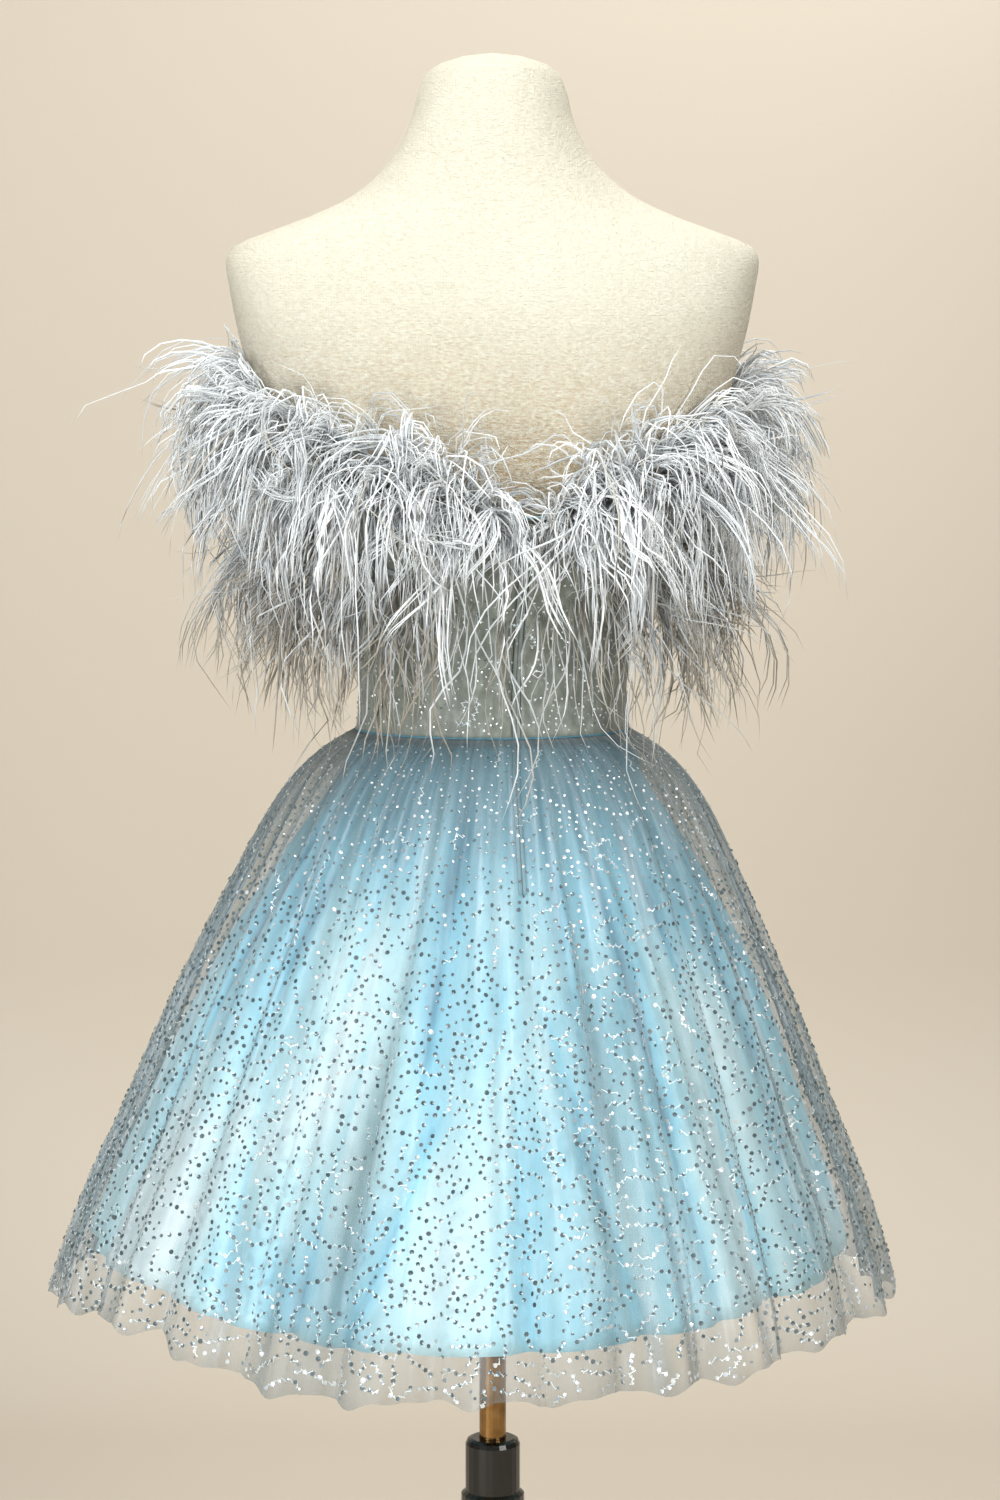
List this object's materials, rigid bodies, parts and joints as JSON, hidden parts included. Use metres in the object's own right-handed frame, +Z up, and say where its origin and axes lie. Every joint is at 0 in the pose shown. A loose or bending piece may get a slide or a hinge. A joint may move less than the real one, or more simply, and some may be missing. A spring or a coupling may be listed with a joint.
{
  "type": "homecoming dress on a dress form",
  "caption": "Strapless short party dress with a two-row feather neckline, satin bodice and flared net overskirt, on a limbless dress form on a pole stand.",
  "frame": {"origin": "centre of the stand's base on its underside, below the pole", "axes": "+Z up; -Y is the wearer's back, with the zip; +Y is the front; +X is to the right as seen from the back"},
  "size_m": [0.6907, 0.6367, 1.56],
  "materials": {
    "linen": "matte",
    "brass": "polished",
    "black_enamel": "satin",
    "bodice_satin": "satin",
    "skirt_satin": "satin",
    "sequin_net": "satin",
    "feather": "matte",
    "zip_tape": "matte",
    "zip_metal": "satin"
  },
  "bodies": {
    "root": {"form_torso": "linen", "form_pole": "brass", "stand_sleeve": "black_enamel", "stand_base": "black_enamel", "bodice_front": "bodice_satin", "bodice_back_left": "bodice_satin", "bodice_back_right": "bodice_satin", "back_zip": "zip_tape", "zip_slider": "zip_metal", "underskirt_front": "skirt_satin", "underskirt_back_left": "skirt_satin", "underskirt_back_right": "skirt_satin", "net_skirt_front": "sequin_net", "net_skirt_back_left": "sequin_net", "net_skirt_back_right": "sequin_net", "feathers_upper_front": "feather", "feathers_upper_back_left": "feather", "feathers_upper_back_right": "feather", "feathers_lower_front": "feather", "feathers_lower_back_left": "feather", "feathers_lower_back_right": "feather"}
  },
  "joints": []
}
